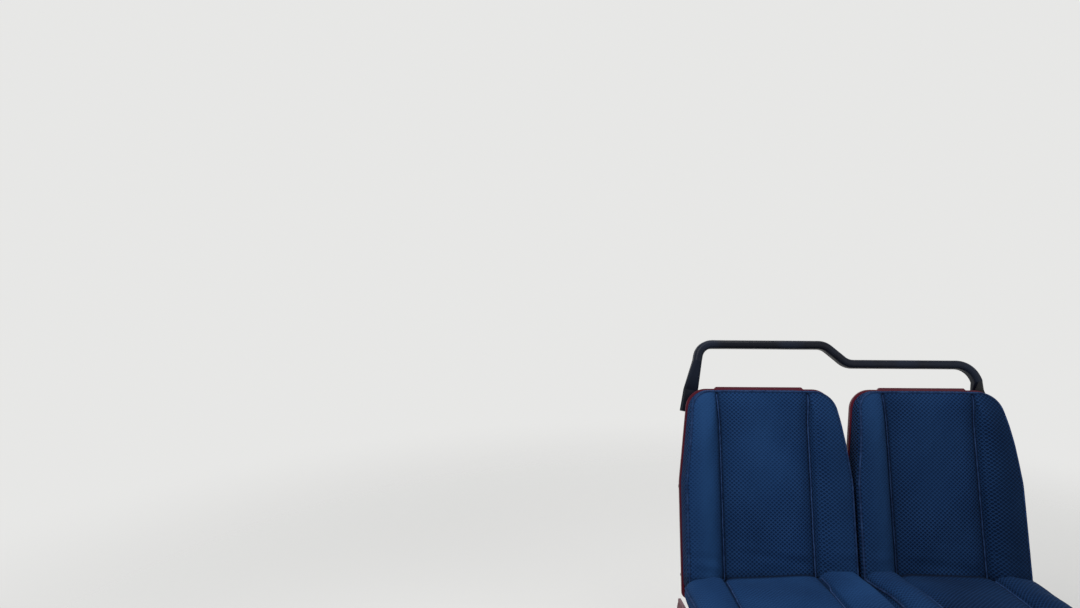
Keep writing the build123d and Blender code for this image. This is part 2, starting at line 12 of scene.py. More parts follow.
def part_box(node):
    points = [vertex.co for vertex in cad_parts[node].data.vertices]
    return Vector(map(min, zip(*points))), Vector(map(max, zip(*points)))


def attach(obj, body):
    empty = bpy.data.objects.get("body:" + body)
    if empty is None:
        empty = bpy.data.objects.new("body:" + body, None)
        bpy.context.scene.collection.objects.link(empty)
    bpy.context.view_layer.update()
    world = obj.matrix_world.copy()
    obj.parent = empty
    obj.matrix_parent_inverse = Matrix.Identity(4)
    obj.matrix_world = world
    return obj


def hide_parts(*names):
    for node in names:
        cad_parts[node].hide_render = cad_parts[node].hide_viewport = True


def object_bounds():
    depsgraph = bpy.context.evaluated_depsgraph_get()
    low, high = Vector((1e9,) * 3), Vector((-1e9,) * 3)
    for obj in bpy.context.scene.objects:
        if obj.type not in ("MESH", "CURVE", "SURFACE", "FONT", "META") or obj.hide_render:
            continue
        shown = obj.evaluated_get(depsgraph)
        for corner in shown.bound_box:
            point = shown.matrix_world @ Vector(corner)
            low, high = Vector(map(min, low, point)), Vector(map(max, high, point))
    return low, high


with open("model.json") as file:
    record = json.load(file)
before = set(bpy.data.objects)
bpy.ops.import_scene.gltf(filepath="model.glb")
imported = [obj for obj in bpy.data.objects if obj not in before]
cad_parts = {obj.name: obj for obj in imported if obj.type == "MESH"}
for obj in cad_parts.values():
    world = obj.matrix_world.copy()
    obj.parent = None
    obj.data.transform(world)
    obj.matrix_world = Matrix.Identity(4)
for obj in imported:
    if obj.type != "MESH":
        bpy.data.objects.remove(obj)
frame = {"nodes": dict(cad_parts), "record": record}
cad_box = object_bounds()
nodes = frame["nodes"]

# Where the seats stand, in metres
SEAT_X = {"aisle": -0.6695, "window": -0.2455}
PITCH = SEAT_X["window"] - SEAT_X["aisle"]
BIGHT = Vector((0, 0.110240, 0.124188))        # where seat and back meet, but for its x
RECLINE, PAN_TILT = radians(15), radians(6.5)
BACK_UP = Vector((0, sin(RECLINE), cos(RECLINE)))
BACK_OUT = Vector((0, -cos(RECLINE), sin(RECLINE)))
HALF = 0.2085              # half the width of a cushion

# A back, measured across, up and out from the bight
BACK_SEAM = 0.112          # seams between centre panel and bolsters
BACK_TOP = 0.4515
TAPER_START = 0.221        # from here up the sides lean in
TOP_INSET = 0.028
CORNER_R, CORNER_OUT = 0.0545, 0.006           # round corners, begun a little outside the lean
ROLL_START, ROLL = 0.290, 0.034                # the front rolls back towards the top
DISH = 0.030               # trough between the bolsters
SHELL_LIP = -0.057         # edge of the shell

# A seat
SEAT_SEAM = 0.115
SEAT_FRONT_Y, SEAT_TOP_Z = -0.2818, 0.1382
WATERFALL_R = 0.044        # rounded front
EDGE_DROP = 0.020          # side piping, below the crown of the bolsters
FRONT_WELT_Z = 0.068       # height of the piping across the front
PAN_REAR_Y, PAN_REAR_Z = 0.12424, 0.039188     # rear end of the pan's slanting edge

# Cloth, piping and filling
WEAVE_ACROSS, WEAVE_ALONG = 0.0108, 0.0094     # pitch of the honeycomb
PIPING_R, SEAM_PIPING_R = 0.0024, 0.0017
STITCHED = 0.004           # cloth this near a seam or its piping is held
BACK_PUFF, BACK_FLANK_PUFF = 0.009, 0.0025
SEAT_PUFF, SEAT_FLANK_PUFF = 0.011, 0.0045
LEAST_PUFF = 0.0002
GROOVE, BACK_VALLEY, SEAT_VALLEY = 0.0042, 0.0030, 0.0035      # stitched groove and soft valley
PIPING_SINK, BELT_SINK = 0.0018, 0.0032
PROUD, BACK_SEAM_PROUD, SEAT_SEAM_PROUD = 0.0008, 0.0005, 0.0014     # cords, out of the cloth
PUFF_FRAMES = 20
VOXEL = 0.0058        # mesh of a cushion before it is puffed

# How far use has moved the cloth
BACK_WAVE, BACK_CRINKLE, BIGHT_CRINKLE = 0.0014, 0.0005, 0.0012
SEAT_WAVE, SEAT_CRINKLE = 0.0018, 0.0006
PLUMP, PLUMP_FORWARD, MIDDLE_RISE = 0.020, 0.006, 0.012
INNER_SPREAD, OUTER_SPREAD, DRAWN_IN = 0.003, 0.011, 0.003
AISLE_CREEP, WINDOW_CREEP = 0.014, -0.006      # inner seam, away from the other seat
WINDOW_GAP = 0.019         # the window seat's inner flank, away from the aisle seat

# Screws and welds
SCREW_R, SCREW_SINK, WELD_R = 0.0042, 0.0004, 0.0025
BACK_SCREW_HEIGHTS = (-0.004, 0.210)
SKIRT_SCREWS = ((0.150, 0.022), (0.005, 0.040), (-0.160, 0.058))     # y and z
BESIDE_SKIRT_X = -1.2      # clear of the aisle side, from where the skirt's screws are aimed


def only(*pieces):
    """Selects these pieces alone and makes the first one active."""
    for piece in bpy.context.selected_objects:
        piece.select_set(False)
    for piece in pieces:
        piece.select_set(True)
    bpy.context.view_layer.objects.active = pieces[0]


# ---------------------------------------------------------------- finishes

def srgb(red, green, blue):
    """Linear colour of a screen colour given in 0 to 255."""
    def linear(value):
        value /= 255
        return value / 12.92 if value <= 0.04045 else ((value + 0.055) / 1.055) ** 2.4
    return (linear(red), linear(green), linear(blue), 1)


class Finish:
    """A material with small helpers for its nodes."""

    def __init__(self, name, rough=0.5, metal=0.0, specular=0.5, sheen=0.0):
        self.material = bpy.data.materials.new(name)
        self.material.use_nodes = True
        self.tree = self.material.node_tree
        self.shader = self.tree.nodes["Principled BSDF"]
        self.shader.inputs["Roughness"].default_value = rough
        self.shader.inputs["Metallic"].default_value = metal
        self.shader.inputs["Specular IOR Level"].default_value = specular
        self.shader.inputs["Sheen Weight"].default_value = sheen
        self.place = self.node("ShaderNodeTexCoord").outputs["Object"]

    def node(self, kind, **settings):
        made = self.tree.nodes.new(kind)
        for key, value in settings.items():
            setattr(made, key, value)
        return made

    def put(self, value, socket):
        """Links an output to a socket, or sets the socket to a plain value."""
        if isinstance(value, bpy.types.NodeSocket):
            self.tree.links.new(value, socket)
        else:
            socket.default_value = value

    def math(self, operation, *values):
        made = self.node("ShaderNodeMath", operation=operation)
        for value, socket in zip(values, made.inputs):
            self.put(value, socket)
        return made.outputs[0]

    def mix(self, amount, first, second):
        made = self.node("ShaderNodeMix", data_type="RGBA")
        self.put(amount, made.inputs["Factor"])
        self.put(first, made.inputs["A"])
        self.put(second, made.inputs["B"])
        return made.outputs["Result"]

    def ramp(self, value, low, high, to_low=0.0, to_high=1.0):
        """Smooth step of a value between two limits."""
        made = self.node("ShaderNodeMapRange", interpolation_type="SMOOTHSTEP")
        for number, socket in zip((value, low, high, to_low, to_high), made.inputs):
            self.put(number, socket)
        return made.outputs[0]

    def noise(self, scale, detail=2.0, rough=0.5, stretch=None, place=None):
        made = self.node("ShaderNodeTexNoise")
        made.inputs["Scale"].default_value = scale
        made.inputs["Detail"].default_value = detail
        made.inputs["Roughness"].default_value = rough
        place = self.place if place is None else place
        if stretch:
            mapping = self.node("ShaderNodeMapping")
            mapping.inputs["Scale"].default_value = stretch
            self.tree.links.new(place, mapping.inputs["Vector"])
            place = mapping.outputs[0]
        self.tree.links.new(place, made.inputs["Vector"])
        return made.outputs["Fac"]

    def attribute(self, name):
        return self.node("ShaderNodeAttribute", attribute_name=name).outputs["Fac"]

    def bump(self, height, distance, strength=1.0):
        made = self.node("ShaderNodeBump")
        made.inputs["Distance"].default_value = distance
        made.inputs["Strength"].default_value = strength
        self.tree.links.new(height, made.inputs["Height"])
        self.tree.links.new(made.outputs[0], self.shader.inputs["Normal"])

    def colour(self, value):
        self.put(value, self.shader.inputs["Base Color"])

    def roughness(self, value):
        self.put(value, self.shader.inputs["Roughness"])


def woven_fabric():
    """Raised honeycomb net over a dark ground, with paler places that are partly wear and partly
    painted light, painted shade on the window seat and the right-hand bolsters, and painted shade
    in the seams and creases.
    """
    cloth = Finish("woven_fabric", rough=0.9, specular=0.04, sheen=0.03)
    cloth.shader.inputs["Sheen Roughness"].default_value = 0.55
    cloth.shader.inputs["Sheen Tint"].default_value = srgb(120, 150, 190)
    split = cloth.node("ShaderNodeSeparateXYZ")
    sheet = cloth.node("ShaderNodeUVMap", uv_map="weave").outputs[0]
    cloth.tree.links.new(sheet, split.inputs[0])
    across = cloth.math("COSINE", cloth.math("MULTIPLY", split.outputs[0], 2 * pi / WEAVE_ACROSS))
    along = cloth.math("COSINE", cloth.math("MULTIPLY", split.outputs[1], 2 * pi / WEAVE_ALONG))
    dimple = cloth.math("ABSOLUTE", cloth.math("SUBTRACT", across, along))
    worn_and_lit, crease_shade, painted_shade = [cloth.attribute(name) for name in ("worn_and_lit", "crease_shade", "painted_shade")]
    hole = cloth.ramp(cloth.math("ADD", dimple, cloth.math("MULTIPLY", painted_shade, 0.4)), 0.65, 1.4)
    patches = cloth.noise(9.0, 3.0, 0.55)
    threads = cloth.noise(900.0, 2.0, 0.6, place=sheet)
    net = cloth.mix(threads, srgb(17, 43, 82), srgb(33, 62, 104))
    net = cloth.mix(cloth.ramp(patches, 0.35, 0.7), net, srgb(21, 47, 86))
    # Paler places: partly wear, partly painted light on the bolsters, shoulders and the aisle seat
    net = cloth.mix(worn_and_lit, net, srgb(27, 58, 98))
    ground = cloth.mix(worn_and_lit, srgb(1, 9, 32), srgb(20, 50, 90))
    kept = cloth.math("SUBTRACT", 1.0, cloth.math("MULTIPLY", worn_and_lit, 0.75))
    depth = cloth.math("MULTIPLY", hole, kept)
    whole = cloth.mix(depth, net, ground)
    # Painted shade: darker on the window seat and the right-hand bolsters, with a little random
    # mottle; the holes darken with it
    shaded_tone = cloth.mix(0.46, whole, srgb(3, 8, 16))
    whole = cloth.mix(painted_shade, whole, shaded_tone)
    # Painted shade: darker in the seams, grooves and creases, at the bight and behind the shell's
    # lip
    cloth.colour(cloth.mix(crease_shade, whole, srgb(4, 11, 28)))
    cloth.roughness(cloth.ramp(worn_and_lit, 0.0, 1.0, 0.88, 0.72))
    height = cloth.math("SUBTRACT", cloth.math("MULTIPLY", threads, 0.25), depth)
    cloth.bump(height, 0.0016, 0.9)
    return cloth.material


def piping_cord(name, clean, rubbed):
    """Smooth cord sewn into the edges and seams, a little rubbed."""
    cord = Finish(name, rough=0.75, specular=0.06, sheen=0.03)
    rub = cord.noise(60.0, 3.0, 0.6)
    cord.colour(cord.mix(cord.ramp(rub, 0.35, 0.7), clean, rubbed))
    cord.bump(cord.noise(1400.0, 2.0), 0.0004, 0.6)
    return cord.material


def red_shell():
    """Satin pressed shell: fine grain, faint scratches, and a painted highlight where it faces up.
    """
    shell = Finish("red_shell", rough=0.38, specular=0.16)
    cloud = shell.noise(6.0, 3.0)
    scratches = shell.noise(60.0, 4.0, 0.7, stretch=(1.0, 0.12, 1.0))
    base = shell.mix(cloud, srgb(66, 17, 30), srgb(84, 25, 39))
    base = shell.mix(shell.ramp(scratches, 0.62, 0.78, 0.0, 0.5), base, srgb(112, 46, 56))
    # Painted highlight: paler pink where the surface faces up
    facing = shell.node("ShaderNodeSeparateXYZ")
    shell.tree.links.new(shell.node("ShaderNodeNewGeometry").outputs["Normal"], facing.inputs[0])
    top_highlight = shell.ramp(facing.outputs[2], 0.7, 0.98, 0.0, 0.5)
    shell.colour(shell.mix(top_highlight, base, srgb(126, 88, 100)))
    shell.roughness(shell.ramp(shell.noise(25.0, 4.0, 0.6), 0.3, 0.75, 0.30, 0.52))
    shell.bump(shell.noise(700.0, 2.0), 0.0002, 0.5)
    return shell.material


def black_rail():
    """Black powder coat: orange peel, polished where hands go."""
    rail = Finish("black_rail", rough=0.4, specular=0.12)
    hands = rail.noise(7.0, 3.0, 0.6)
    rail.colour(rail.mix(rail.ramp(hands, 0.4, 0.65), srgb(9, 12, 21), srgb(16, 23, 37)))
    rail.roughness(rail.ramp(hands, 0.35, 0.65, 0.27, 0.48))
    rail.bump(rail.noise(420.0, 2.0), 0.0003, 0.5)
    return rail.material


def frame_steel():
    """Dark paint on steel: dull, with dust in patches, rubbed bare in small places."""
    steel = Finish("frame_steel", rough=0.5, specular=0.4)
    dust = steel.noise(14.0, 4.0, 0.6)
    chips = steel.noise(85.0, 5.0, 0.75)
    base = steel.mix(steel.ramp(dust, 0.4, 0.7), srgb(38, 39, 41), srgb(66, 65, 63))
    steel.colour(steel.mix(steel.ramp(chips, 0.70, 0.74), base, srgb(120, 112, 104)))
    steel.roughness(steel.ramp(dust, 0.3, 0.7, 0.42, 0.7))
    steel.bump(steel.noise(300.0, 3.0), 0.0003, 0.4)
    return steel.material


def zinc_bolts():
    """Dull zinc, finely brushed, with darker stains."""
    zinc = Finish("zinc_bolts", rough=0.4, metal=0.85)
    stain = zinc.noise(160.0, 4.0, 0.7)
    zinc.colour(zinc.mix(zinc.ramp(stain, 0.35, 0.7), srgb(150, 150, 146), srgb(96, 94, 90)))
    zinc.roughness(zinc.ramp(stain, 0.3, 0.7, 0.3, 0.55))
    zinc.bump(zinc.noise(900.0, 2.0, stretch=(1.0, 1.0, 0.2)), 0.0002, 0.4)
    return zinc.material


def black_plastic():
    """Matte moulded plastic with a fine grain."""
    plastic = Finish("black_plastic", rough=0.62, specular=0.35)
    plastic.colour(plastic.mix(plastic.noise(30.0, 4.0), srgb(20, 20, 21), srgb(40, 40, 41)))
    plastic.bump(plastic.noise(1100.0, 2.0), 0.0003, 0.6)
    return plastic.material


FABRIC, RED, BLACK = woven_fabric(), red_shell(), black_rail()
# Painted shade: the edge cord is coloured darker than the seam cord
SHADED_CORD = piping_cord("shaded_edge_piping", srgb(15, 34, 66), srgb(30, 53, 90))
SEAM_CORD = piping_cord("seam_piping", srgb(22, 45, 82), srgb(38, 63, 104))
STEEL, ZINC, PLASTIC = frame_steel(), zinc_bolts(), black_plastic()
FINISHES = {"red_shell": RED, "blue_fabric": FABRIC, "black_rail": BLACK, "frame_steel": STEEL,
            "zinc_bolts": ZINC, "black_plastic": PLASTIC}


def finish_node(name, material):
    """Gives a CAD node its finish in place of the one it came with."""
    mesh = nodes[name].data
    mesh.materials.clear()
    mesh.materials.append(material)
    for face in mesh.polygons:
        face.material_index = 0


for part in frame["record"]["subparts"]:
    finish_node(part["node"], FINISHES[part["material_slot"]])


# ---------------------------------------------------------------- cushions

def points_of(piece):
    flat = np.empty(len(piece.data.vertices) * 3, np.float32)
    piece.data.vertices.foreach_get("co", flat)
    return flat.reshape(-1, 3).astype(float)


def normals_of(piece):
    flat = np.empty(len(piece.data.vertices) * 3, np.float32)
    piece.data.vertex_normals.foreach_get("vector", flat)
    return flat.reshape(-1, 3).astype(float)


def put_points(piece, points):
    piece.data.vertices.foreach_set("co", points.astype(np.float32).ravel())
    piece.data.update()


def step(value, low, high):
    """Smooth step from 0 at the low limit to 1 at the high one."""
    t = np.clip((value - low) / (high - low), 0, 1)
    return t * t * (3 - 2 * t)


def bell(distance, width):
    """1 at no distance, falling off to either side."""
    return np.exp(-(distance / width) ** 2)


def seam_groove(seam, valley):
    """How far the cloth is drawn in near a seam: a stitched groove in a soft valley."""
    return GROOVE * bell(seam, 0.0045) + valley * bell(seam, 0.016)


def ripple(points, scale, seed):
    """Slow waves over the surface, mostly -1 to 1, for folds that no two cushions share."""
    rng = np.random.default_rng(seed)
    total = np.zeros(len(points))
    for _ in range(9):
        way = rng.normal(size=3)
        way *= 2 * pi / scale / np.linalg.norm(way) * rng.uniform(0.6, 1.5)
        total += np.sin(points @ way + rng.uniform(0, 2 * pi))
    return total / 4.5


def copy_of(piece, name):
    """Copy of a piece with a mesh of its own."""
    made = bpy.data.objects.new(name, piece.data.copy())
    bpy.context.scene.collection.objects.link(made)
    return made


def remeshed(node, name, voxel):
    """Even mesh with the form of a drawn cushion, ready to be puffed."""
    piece = copy_of(nodes[node], name)
    only(piece)
    bpy.ops.object.mode_set(mode="EDIT")
    bpy.ops.mesh.select_all(action="SELECT")
    bpy.ops.mesh.remove_doubles(threshold=0.00005)
    bpy.ops.object.mode_set(mode="OBJECT")
    remesh = piece.modifiers.new("remesh", "REMESH")
    remesh.mode = "VOXEL"
    remesh.voxel_size = voxel
    bpy.ops.object.modifier_apply(modifier="remesh")
    smooth = piece.modifiers.new("ease", "SMOOTH")
    smooth.iterations = 3
    bpy.ops.object.modifier_apply(modifier="ease")
    return piece


def puffed(piece, held, reach):
    """Blows the cushion up as cloth, pinned where held, each point moving at most its reach."""
    before = points_of(piece)
    pins = piece.vertex_groups.new(name="held")
    pins.add([int(i) for i in np.flatnonzero(held)], 1.0, "REPLACE")
    only(piece)
    cloth = piece.modifiers.new("cloth", "CLOTH")
    cloth.settings.quality = 4
    cloth.settings.mass = 0.3
    cloth.settings.tension_stiffness = 12
    cloth.settings.compression_stiffness = 12
    cloth.settings.bending_stiffness = 0.6
    cloth.settings.use_pressure = True
    cloth.settings.uniform_pressure_force = 4
    cloth.settings.vertex_group_mass = "held"
    cloth.settings.effector_weights.gravity = 0
    cloth.point_cache.frame_start, cloth.point_cache.frame_end = 1, PUFF_FRAMES
    for number in range(1, PUFF_FRAMES + 1):
        bpy.context.scene.frame_set(number)
    bpy.ops.object.modifier_apply(modifier="cloth")
    bpy.context.scene.frame_set(1)
    piece.vertex_groups.clear()
    moved = points_of(piece) - before
    length = np.linalg.norm(moved, axis=1)
    wanted = reach * np.tanh(length / np.maximum(reach, 1e-5))
    put_points(piece, before + moved * (wanted / np.maximum(length, 1e-9))[:, None])
    only(piece)
    divide = piece.modifiers.new("divide", "SUBSURF")
    divide.levels = divide.render_levels = 1
    bpy.ops.object.modifier_apply(modifier="divide")


def numbers_on(piece, name, values):
    """Stores a number from 0 to 1 at each point, for the fabric's finish to read."""
    layer = piece.data.attributes.new(name, "FLOAT", "POINT")
    layer.data.foreach_set("value", np.clip(values, 0, 1).astype(np.float32))


def weave_on(piece, flat_place):
    """Lays the fabric on by its own map, in metres of cloth, each face as its panel lies."""
    mesh = piece.data
    layer = mesh.uv_layers.new(name="weave")
    points = points_of(piece)
    corner = np.empty(len(mesh.loops), np.int32)
    mesh.loops.foreach_get("vertex_index", corner)
    sizes = np.empty(len(mesh.polygons), np.int32)
    mesh.polygons.foreach_get("loop_total", sizes)
    flat = np.empty(len(mesh.polygons) * 3, np.float32)
    mesh.polygons.foreach_get("normal", flat)
    normals = np.repeat(flat.reshape(-1, 3), sizes, axis=0)
    layer.data.foreach_set("uv", flat_place(points[corner], normals).astype(np.float32).ravel())
    mesh.materials.clear()
    mesh.materials.append(FABRIC)
    mesh.shade_smooth()


def back_place(points, x):
    """Across, up and out of points on a back whose middle is at x."""
    rest = points - np.array([x, BIGHT.y, BIGHT.z])
    return rest[:, 0], rest @ np.array(BACK_UP), rest @ np.array(BACK_OUT)


def from_back(across, up, out, x):
    """Point in the frame from a place on a back."""
    return Vector((x + across, 0, 0)) + BIGHT + BACK_UP * up + BACK_OUT * out


def back_half(up):
    """Half the width of a back cushion at a height up the back."""
    lean = TOP_INSET / (BACK_TOP - TAPER_START)
    over = np.maximum(up - TAPER_START, 0)
    ease = 0.0125
    return HALF - lean * np.where(over < ease, over * over / (2 * ease), over - ease / 2)


def back_inset(across, up):
    """How far inside the outline of a back a point lies."""
    across = np.abs(across)
    plain = np.minimum(back_half(up) - across, BACK_TOP - up)
    wide = HALF - TOP_INSET + CORNER_OUT
    in_corner = (across > wide - CORNER_R) & (up > BACK_TOP - CORNER_R)
    round_off = CORNER_R - np.hypot(across - (wide - CORNER_R), up - (BACK_TOP - CORNER_R))
    return np.where(in_corner, round_off, plain)


def roll_at(up):
    """How far the front of a back has rolled back at a height."""
    span = BACK_TOP - ROLL_START
    radius = (span * span + ROLL * ROLL) / (2 * ROLL)
    over = np.clip(up - ROLL_START, 0, span)
    return radius - np.sqrt(radius * radius - over * over)


def back_seam(up):
    """Where the seams beside the centre panel run, across."""
    return BACK_SEAM + 0.004 * step(up, 0.36, 0.44)


def back_fields(points, x):
    """Places on a back, and their distances from its seams, its piping and its outline."""
    across, up, out = back_place(points, x)
    seam = np.hypot(np.abs(across) - back_seam(up), np.where(out > SHELL_LIP, 0, 1))
    inset = back_inset(across, up)
    piping = np.hypot(np.maximum(inset - 0.002, 0), np.maximum(-roll_at(up) - out - 0.002, 0))
    return across, up, out, seam, piping, inset


def shape_back(piece, x):
    """Puffs a back between its seams and piping, and draws the cloth in along them."""
    points = points_of(piece)
    _, up, out, seam, piping, inset = back_fields(points, x)
    side = (inset < 0.012) & (out < -roll_at(up) - 0.012)
    held = (seam < STITCHED) | (piping < STITCHED) | (out < -0.056) | (up < 0.012)
    front = BACK_PUFF * step(seam, 0.0, 0.035) * step(piping, 0.0, 0.030) * step(up, 0.01, 0.09)
    flank = BACK_FLANK_PUFF * step(out, SHELL_LIP, -0.042) * step(piping, 0.0, 0.02)
    reach = np.where(side, flank, np.where(out < -0.054, LEAST_PUFF, front + LEAST_PUFF))
    puffed(piece, held, reach)
    points = points_of(piece)
    _, _, out, seam, piping, _ = back_fields(points, x)
    show = step(out, SHELL_LIP, -0.051)
    sink = seam_groove(seam, BACK_VALLEY) * show * step(piping, 0.0, 0.012)
    sink += PIPING_SINK * bell(piping, 0.006) * show
    put_points(piece, points - normals_of(piece) * sink[:, None])


def dress_back(piece, x, seed):
    """Folds, wear, painted light and shade, and cloth of one back."""
    points = points_of(piece)
    across, up, out, seam, piping, inset = back_fields(points, x)
    loose = step(seam, 0.0, 0.03) * step(piping, 0.0, 0.03) * step(out, -0.05, -0.03)
    folds = BACK_WAVE * ripple(points, 0.16, seed)
    folds += BACK_CRINKLE * ripple(points * [1, 0.35, 0.35], 0.03, seed + 1)
    low = bell(up - 0.03, 0.05) * BIGHT_CRINKLE
    low = low * ripple(points * [0.25, 1, 1], 0.035, seed + 2)
    put_points(piece, points + normals_of(piece) * ((folds + low) * loose)[:, None])
    # Paler places, partly wear and partly painted light: the left-hand bolster, the bolsters, the
    # fronts and the shoulders; the aisle back paler than the window back, which stands in shade
    lit_and_used = 1.0 if x == SEAT_X["aisle"] else 0.35
    worn_and_lit = bell(across + 0.145, 0.030) * (0.55 + 0.2 * lit_and_used)
    worn_and_lit += 0.15 * lit_and_used * step(np.abs(across), BACK_SEAM + 0.02, BACK_SEAM + 0.05)
    worn_and_lit += 0.15 * bell(piping - 0.01, 0.012)
    worn_and_lit += (0.12 + 0.10 * lit_and_used + 0.06 * ripple(points, 0.13, seed + 3)) * step(piping, 0, 0.03)
    shoulders = (0.18 + 0.14 * lit_and_used) * bell(across, 0.07) * step(up, 0.10, 0.30)
    worn_and_lit += shoulders * (1 - 0.35 * step(up, 0.33, 0.42))
    worn_and_lit *= 1 - step(-roll_at(up) - out, 0.006, 0.014) * (inset < 0.02)      # not on the boxing
    numbers_on(piece, "worn_and_lit", worn_and_lit)
    # Painted shade: darker on the right-hand bolster and over the whole window back, with a little
    # random mottle
    painted_shade = 0.15 + 0.25 * step(across, 0.10, 0.17)
    if x == SEAT_X["window"]:
        painted_shade = 0.40 + 0.60 * step(across, 0.10, 0.17) + 0.12 * bell(across + 0.15, 0.04)
    numbers_on(piece, "painted_shade", painted_shade + 0.10 * ripple(points, 0.2, seed + 5))
    # Painted shade along the seams and piping, beside the seams, at the bight and behind the
    # shell's lip
    crease_shade = 0.9 * bell(seam, 0.0048) * step(out, SHELL_LIP, -0.051) + 0.7 * bell(piping, 0.0045)
    crease_shade += 0.25 * bell(seam - 0.004, 0.022) * (np.abs(across) < BACK_SEAM)
    crease_shade += 0.6 * (1 - step(up, -0.012, 0.012)) + 0.5 * (1 - step(out, -0.064, SHELL_LIP))
    numbers_on(piece, "crease_shade", crease_shade)

    def lay(corners, normals):
        u, v, w = back_place(corners, x)
        n_out = np.abs(normals @ np.array(BACK_OUT))
        n_up = np.abs(normals @ np.array(BACK_UP))
        n_side = np.abs(normals[:, 0])
        stretch = np.where(np.abs(u) > back_half(v) - 0.03, 0.65, 1.0)     # tight round the boxing
        sides = np.stack([stretch * w, v], 1)
        tops = np.stack([u, w], 1)
        fronts = np.stack([u, v], 1)
        pick = np.where(((n_side > n_out) & (n_side > n_up))[:, None], sides, fronts)
        return np.where(((n_up > n_out) & (n_up > n_side))[:, None], tops, pick)
    weave_on(piece, lay)


def seat_run(points):
    """Length of cloth from the rear of a seat, over its rounded front and down."""
    y, z = points[:, 1], points[:, 2]
    centre_y, centre_z = SEAT_FRONT_Y + WATERFALL_R, SEAT_TOP_Z - WATERFALL_R
    turn = np.arctan2(np.maximum(centre_y - y, 0), np.maximum(z - centre_z, 1e-6))
    top = BIGHT.y - np.maximum(y, centre_y)
    return top + WATERFALL_R * turn + np.maximum(centre_z - z, 0)


def seat_shift(points, x):
    """How a seat has moved with use: plump towards the other seat, slack and crept aside."""
    aisle = x == SEAT_X["aisle"]
    towards = 1 if aisle else -1
    inner = (points[:, 0] - x) * towards
    run = seat_run(points)
    full = step(inner, -0.10, 0.13) if aisle else step(inner, -0.20, 0.11)
    plump = PLUMP + PLUMP_FORWARD * step(run, 0.0, 0.12)
    plump = plump * (1 - 0.8 * step(run, 0.16, 0.38)) * full
    middle = MIDDLE_RISE * (1 - step(run, 0.02, 0.2)) * (1 - full) * step(inner, -0.2, -0.1)
    rise = (plump + middle) * step(points[:, 2], 0.06, 0.11)
    edge = step(np.abs(inner), 0.10, 0.20) * step(pan_rise(points), 0.008, 0.05)
    inside = INNER_SPREAD * step(run, 0.01, 0.16)
    outside = OUTER_SPREAD * (1 - step(run, 0.0, 0.30)) - DRAWN_IN * step(run, 0.20, 0.38)
    spread = np.where(inner > 0, inside, outside)
    shift = np.array(BACK_UP) * rise[:, None]
    shift[:, 0] += spread * edge * np.sign(inner) * towards
    crept = AISLE_CREEP if aisle else WINDOW_CREEP
    crept = crept * step(inner, 0.0, 0.10) * (1 - step(inner, 0.13, 0.19))
    free = (0.45 + 0.55 * step(run, 0.0, 0.2)) * step(pan_rise(points), 0.01, 0.06)
    shift[:, 0] -= crept * free * (1 - 0.7 * step(run, 0.26, 0.40))
    if not aisle:
        loose = step(pan_rise(points), 0.01, 0.06) * step(run, 0.0, 0.16)
        shift[:, 0] += WINDOW_GAP * step(inner, 0.12, 0.18) * loose
    return shift


def seat_fields(points, x):
    """Places on a seat, and their distances from its seams, side piping and front piping."""
    across = points[:, 0] - x
    run = seat_run(points)
    y, z = points[:, 1], points[:, 2]
    rise = (SEAT_TOP_Z - BIGHT.z) * np.clip((BIGHT.y - y) / (BIGHT.y - SEAT_FRONT_Y), 0, 1)
    depth = BIGHT.z + rise - z                     # below the crown of the bolsters
    front = y - SEAT_FRONT_Y
    top = (depth < 0.030) | ((front < 0.05) & (z > FRONT_WELT_Z - 0.03))
    seam = np.where(top, np.abs(np.abs(across) - SEAT_SEAM), 1.0)
    under = np.minimum(depth - EDGE_DROP, np.maximum(front, 0) - 0.014)
    edge = np.hypot(HALF - np.abs(across) - 0.001, under)
    belt = np.where(front < 0.016, np.abs(z - FRONT_WELT_Z), 1.0)
    return across, run, front, seam, edge, belt


def pan_rise(points):
    """Height of points above the slanting edge of the pan."""
    return (points[:, 2] - PAN_REAR_Z) * cos(PAN_TILT) + (points[:, 1] - PAN_REAR_Y) * sin(PAN_TILT)


def shape_seat(piece, x):
    """Puffs a seat between its seams and piping, and draws the cloth in along them."""
    points = points_of(piece)
    across, _, _, seam, edge, belt = seat_fields(points, x)
    low = pan_rise(points) < 0.006
    rear = points[:, 1] > BIGHT.y - 0.012
    held = (seam < STITCHED) | (edge < STITCHED) | (belt < STITCHED) | low | rear
    room = step(BIGHT.y - points[:, 1], 0.010, 0.070)
    reach = SEAT_PUFF * step(seam, 0.0, 0.035) * step(edge, 0.0, 0.028)
    reach = reach * step(belt, 0.0, 0.02) * room
    side = (HALF - np.abs(across) < 0.012) & (edge > 0.006)
    flank = SEAT_FLANK_PUFF * step(pan_rise(points), 0.004, 0.03) * step(edge, 0.0, 0.02) * room
    reach = np.where(side, flank, reach)
    reach = np.where(low, 0.0001, reach + LEAST_PUFF)
    puffed(piece, held, reach)
    points = points_of(piece)
    _, _, _, seam, edge, belt = seat_fields(points, x)
    show = step(pan_rise(points), 0.0, 0.012)
    sink = seam_groove(seam, SEAT_VALLEY) * step(edge, 0.0, 0.012)
    sink = (sink + PIPING_SINK * bell(edge, 0.006) + BELT_SINK * bell(belt, 0.005)) * show
    put_points(piece, points - normals_of(piece) * sink[:, None])


